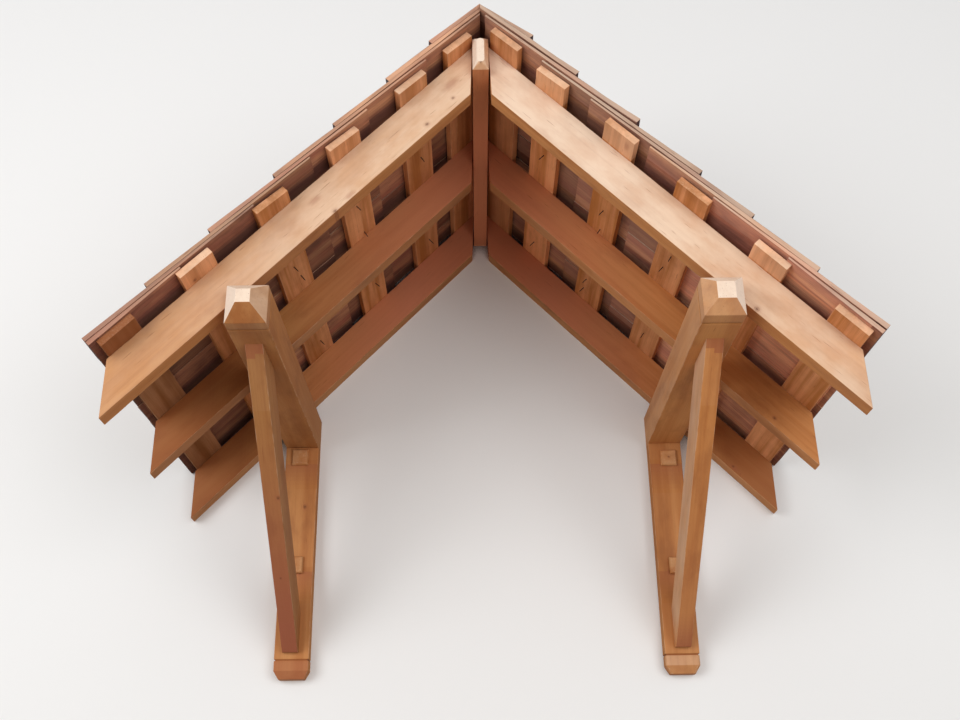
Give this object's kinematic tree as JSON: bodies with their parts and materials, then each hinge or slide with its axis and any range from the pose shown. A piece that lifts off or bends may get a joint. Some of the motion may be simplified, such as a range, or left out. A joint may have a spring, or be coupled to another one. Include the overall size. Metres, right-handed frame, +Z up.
{
  "type": "timber door canopy",
  "caption": "Gabled timber canopy that shelters a doorway: rafters, battens and wood shakes carried by braced wall brackets.",
  "frame": {"origin": "middle of the ridge beam's rear end, on the wall's face", "axes": "+X to the right seen from the front, +Y into the wall, +Z up"},
  "size_m": [1.6591, 0.884, 1.4365],
  "materials": {
    "cedar_timber": "planed cedar with an oil stain, knots and saw marks",
    "cedar_battens": "rough sawn cedar boards",
    "cedar_shakes": "split and sawn cedar shakes, bleached on the weather side",
    "cedar_plugs": "end grain wooden plugs"
  },
  "bodies": {
    "root": {"left_batten_1": "cedar_battens", "left_batten_2": "cedar_battens", "left_batten_3": "cedar_battens", "left_batten_4": "cedar_battens", "left_batten_5": "cedar_battens", "left_batten_6": "cedar_battens", "left_beam": "cedar_timber", "left_brace": "cedar_timber", "left_front_rafter": "cedar_timber", "left_lower_plug": "cedar_plugs", "left_middle_rafter": "cedar_timber", "left_rear_rafter": "cedar_timber", "left_ridge_shakes": "cedar_shakes", "left_shakes_1": "cedar_shakes", "left_shakes_2": "cedar_shakes", "left_shakes_3": "cedar_shakes", "left_shakes_4": "cedar_shakes", "left_shakes_5": "cedar_shakes", "left_shakes_6": "cedar_shakes", "left_upper_plug": "cedar_plugs", "left_wall_post": "cedar_timber", "ridge_beam": "cedar_timber", "right_batten_1": "cedar_battens", "right_batten_2": "cedar_battens", "right_batten_3": "cedar_battens", "right_batten_4": "cedar_battens", "right_batten_5": "cedar_battens", "right_batten_6": "cedar_battens", "right_beam": "cedar_timber", "right_brace": "cedar_timber", "right_front_rafter": "cedar_timber", "right_lower_plug": "cedar_plugs", "right_middle_rafter": "cedar_timber", "right_rear_rafter": "cedar_timber", "right_ridge_shakes": "cedar_shakes", "right_shakes_1": "cedar_shakes", "right_shakes_2": "cedar_shakes", "right_shakes_3": "cedar_shakes", "right_shakes_4": "cedar_shakes", "right_shakes_5": "cedar_shakes", "right_shakes_6": "cedar_shakes", "right_upper_plug": "cedar_plugs", "right_wall_post": "cedar_timber"}
  },
  "joints": []
}
